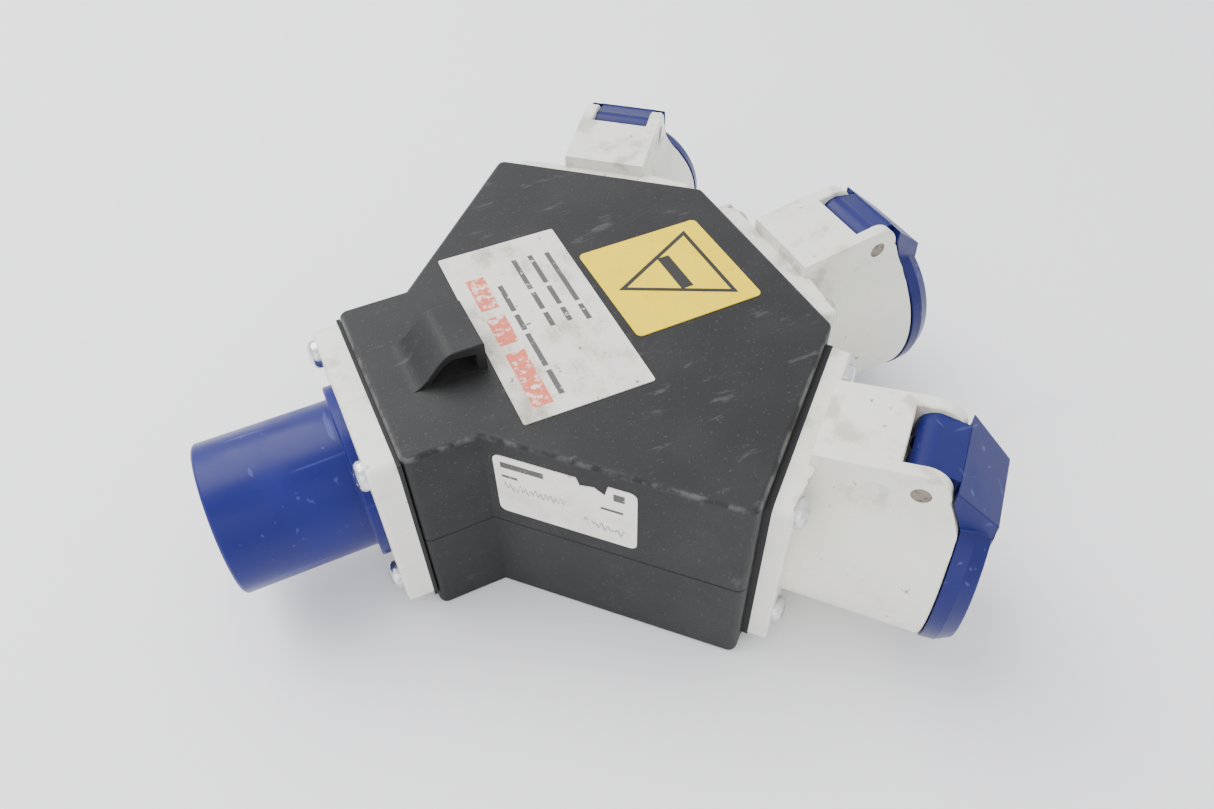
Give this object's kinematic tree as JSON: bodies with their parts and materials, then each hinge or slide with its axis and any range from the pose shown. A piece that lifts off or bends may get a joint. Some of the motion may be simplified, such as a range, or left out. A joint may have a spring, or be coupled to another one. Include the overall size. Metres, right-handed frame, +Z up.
{
  "type": "portable power distribution box",
  "caption": "Rubber-cased power distribution box with a shrouded pin inlet, angled sprung-lid socket outlets and a hanging lug.",
  "frame": {"origin": "on the floor, under the middle of the shell's length, on its plane of symmetry", "axes": "+Z up; -X out of the inlet; +X out of the middle outlet; +Y towards the left outlet"},
  "size_m": [0.2596, 0.2662, 0.0894],
  "materials": {
    "shell_rubber": "matt, fine grained, scuffed",
    "black_rubber": "matt",
    "zinc_steel": "bright zinc plated",
    "spring_steel": "plain wire",
    "brass": "turned",
    "yellow_label": "printed film, worn",
    "white_label": "printed film, dirty",
    "test_label": "printed film",
    "white_plastic": "satin moulded, grubby",
    "blue_plastic": "satin moulded, scratched",
    "blue_lid_plastic": "satin moulded, scratched",
    "black_plastic": "moulded",
    "brown_wire": "soft cable insulation",
    "blue_wire": "soft cable insulation",
    "green_wire": "soft cable insulation"
  },
  "bodies": {
    "box": {"top_shell": "shell_rubber", "bottom_shell": "shell_rubber", "inlet_gasket": "black_rubber", "left_gasket": "black_rubber", "middle_gasket": "black_rubber", "right_gasket": "black_rubber", "shell_screws": "zinc_steel", "inlet_flange_screws": "zinc_steel", "inlet_terminal_screws": "zinc_steel", "left_flange_screws": "zinc_steel", "middle_flange_screws": "zinc_steel", "right_flange_screws": "zinc_steel", "left_terminal_screws": "zinc_steel", "middle_terminal_screws": "zinc_steel", "right_terminal_screws": "zinc_steel", "left_hinge_pin": "zinc_steel", "middle_hinge_pin": "zinc_steel", "right_hinge_pin": "zinc_steel", "left_spring": "spring_steel", "middle_spring": "spring_steel", "right_spring": "spring_steel", "shell_inserts": "brass", "flange_inserts": "brass", "inlet_line_pin": "brass", "inlet_neutral_pin": "brass", "inlet_earth_pin": "brass", "left_live_contacts": "brass", "left_earth_contact": "brass", "middle_live_contacts": "brass", "middle_earth_contact": "brass", "right_live_contacts": "brass", "right_earth_contact": "brass", "hazard_label": "yellow_label", "plate_label": "white_label", "test_label": "test_label", "inlet_flange": "white_plastic", "left_housing": "white_plastic", "middle_housing": "white_plastic", "right_housing": "white_plastic", "inlet_shroud": "blue_plastic", "inlet_carrier": "black_plastic", "left_carrier": "black_plastic", "middle_carrier": "black_plastic", "right_carrier": "black_plastic", "left_core": "black_plastic", "middle_core": "black_plastic", "right_core": "black_plastic", "line_wires": "brown_wire", "neutral_wires": "blue_wire", "earth_wires": "green_wire"},
    "left_lid_body": {"left_lid": "blue_lid_plastic", "left_lid_seal": "black_rubber"},
    "middle_lid_body": {"middle_lid": "blue_lid_plastic", "middle_lid_seal": "black_rubber"},
    "right_lid_body": {"right_lid": "blue_lid_plastic", "right_lid_seal": "black_rubber"}
  },
  "joints": [
    {"name": "left_lid_hinge", "type": "hinge", "parent": "box", "child": "left_lid_body", "pos_m": [0.06593, 0.09835, 0.0762], "axis": [0.7536, -0.6574, 0], "range_deg": [0, 95], "stiffness_Nm_per_rad": 0.03, "springref_deg": -57.3},
    {"name": "middle_lid_hinge", "type": "hinge", "parent": "box", "child": "middle_lid_body", "pos_m": [0.1099, 0, 0.0762], "axis": [0, -1, 0], "range_deg": [0, 95], "stiffness_Nm_per_rad": 0.03, "springref_deg": -57.3},
    {"name": "right_lid_hinge", "type": "hinge", "parent": "box", "child": "right_lid_body", "pos_m": [0.06593, -0.09835, 0.0762], "axis": [-0.7536, -0.6574, 0], "range_deg": [0, 95], "stiffness_Nm_per_rad": 0.03, "springref_deg": -57.3}
  ]
}
